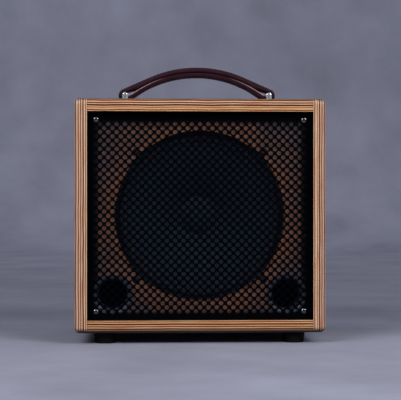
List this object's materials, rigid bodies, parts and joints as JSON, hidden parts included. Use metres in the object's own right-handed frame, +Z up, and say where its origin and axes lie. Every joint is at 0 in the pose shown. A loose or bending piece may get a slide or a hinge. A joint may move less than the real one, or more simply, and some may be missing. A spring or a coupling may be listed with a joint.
{
  "type": "tube guitar combo amplifier",
  "caption": "Small tube guitar combo: plywood box with a perforated steel grille, a ten-inch speaker, a leather handle on top and a control well behind it.",
  "frame": {"origin": "on the floor, under the middle of the box, at the centre of the bounding box's base", "axes": "+X right as seen from the front, the front grille faces -Y, +Z up"},
  "size_m": [0.344, 0.24, 0.388],
  "materials": {
    "aluminium": "satin",
    "amber_glass": "clear",
    "baffle_wood": "matte",
    "bakelite": "satin",
    "black_plastic": "gloss",
    "black_steel": "satin",
    "board": "matte",
    "ceramic": "matte",
    "chrome": "polished",
    "cloth": "matte",
    "cork": "matte",
    "ferrite": "matte",
    "glass": "clear",
    "knob_plastic": "gloss",
    "leather": "satin",
    "paper_cone": "matte",
    "plywood": "satin",
    "rubber": "matte",
    "spider_cloth": "matte",
    "zinc_steel": "satin"
  },
  "bodies": {
    "cabinet": {"side_panel_left": "plywood", "side_panel_right": "plywood", "top_panel": "plywood", "bottom_panel": "plywood", "baffle_board": "baffle_wood", "cleats": "baffle_wood", "back_panel": "plywood", "vent_grille": "black_steel", "wood_screws": "zinc_steel", "feet": "rubber", "front_grille": "black_steel", "grille_spacers": "bakelite", "grille_screws": "chrome", "port_left": "black_plastic", "port_right": "black_plastic", "speaker_gasket": "cork", "speaker_basket": "black_steel", "speaker_surround": "cloth", "speaker_spider": "spider_cloth", "speaker_top_plate": "zinc_steel", "speaker_magnet": "ferrite", "speaker_pole_piece": "zinc_steel", "speaker_terminals": "bakelite", "speaker_bolts": "zinc_steel", "speaker_nuts": "zinc_steel", "handle_strap": "leather", "handle_backing": "leather", "handle_bracket_left": "chrome", "handle_bracket_right": "chrome", "handle_pins": "chrome", "handle_screws": "chrome", "chassis": "zinc_steel", "control_panel": "black_steel", "chassis_bolts": "chrome", "potentiometers": "zinc_steel", "toggle_switches": "chrome", "pilot_lamp": "chrome", "pilot_jewel": "amber_glass", "input_jack": "chrome", "speaker_jack": "chrome", "power_inlet": "bakelite", "fuse_holder": "bakelite", "tube_sockets": "ceramic", "power_tubes": "glass", "preamp_tubes": "glass", "power_transformer": "black_steel", "output_transformer": "black_steel", "circuit_board": "board", "filter_capacitors": "aluminium"},
    "speaker_cone_assembly": {"speaker_cone": "paper_cone", "dust_cap": "paper_cone", "voice_coil": "aluminium"},
    "gain_control": {"knob_gain": "knob_plastic", "shaft_gain": "aluminium"},
    "tone_control": {"knob_tone": "knob_plastic", "shaft_tone": "aluminium"},
    "volume_control": {"knob_volume": "knob_plastic", "shaft_volume": "aluminium"},
    "standby_switch": {"standby_lever": "chrome"},
    "power_switch": {"power_lever": "chrome"}
  },
  "joints": [
    {"name": "cone_travel", "type": "slide", "parent": "cabinet", "child": "speaker_cone_assembly", "axis": [0, -1, 0], "range_m": [-0.003, 0.003], "stiffness_N_per_m": 1500, "deforming": ["speaker_surround", "speaker_spider"]},
    {"name": "gain_turn", "type": "hinge", "parent": "cabinet", "child": "gain_control", "pos_m": [0.07429, 0.068, 0.317], "axis": [0, 0, -1], "range_deg": [-150, 150]},
    {"name": "tone_turn", "type": "hinge", "parent": "cabinet", "child": "tone_control", "pos_m": [0.03714, 0.068, 0.317], "axis": [0, 0, -1], "range_deg": [-150, 150]},
    {"name": "volume_turn", "type": "hinge", "parent": "cabinet", "child": "volume_control", "pos_m": [0, 0.068, 0.317], "axis": [0, 0, -1], "range_deg": [-150, 150]},
    {"name": "standby_flip", "type": "hinge", "parent": "cabinet", "child": "standby_switch", "pos_m": [-0.07429, 0.068, 0.32], "axis": [-1, 0, 0], "range_deg": [0, 25]},
    {"name": "power_flip", "type": "hinge", "parent": "cabinet", "child": "power_switch", "pos_m": [-0.11143, 0.068, 0.32], "axis": [-1, 0, 0], "range_deg": [0, 25]}
  ]
}
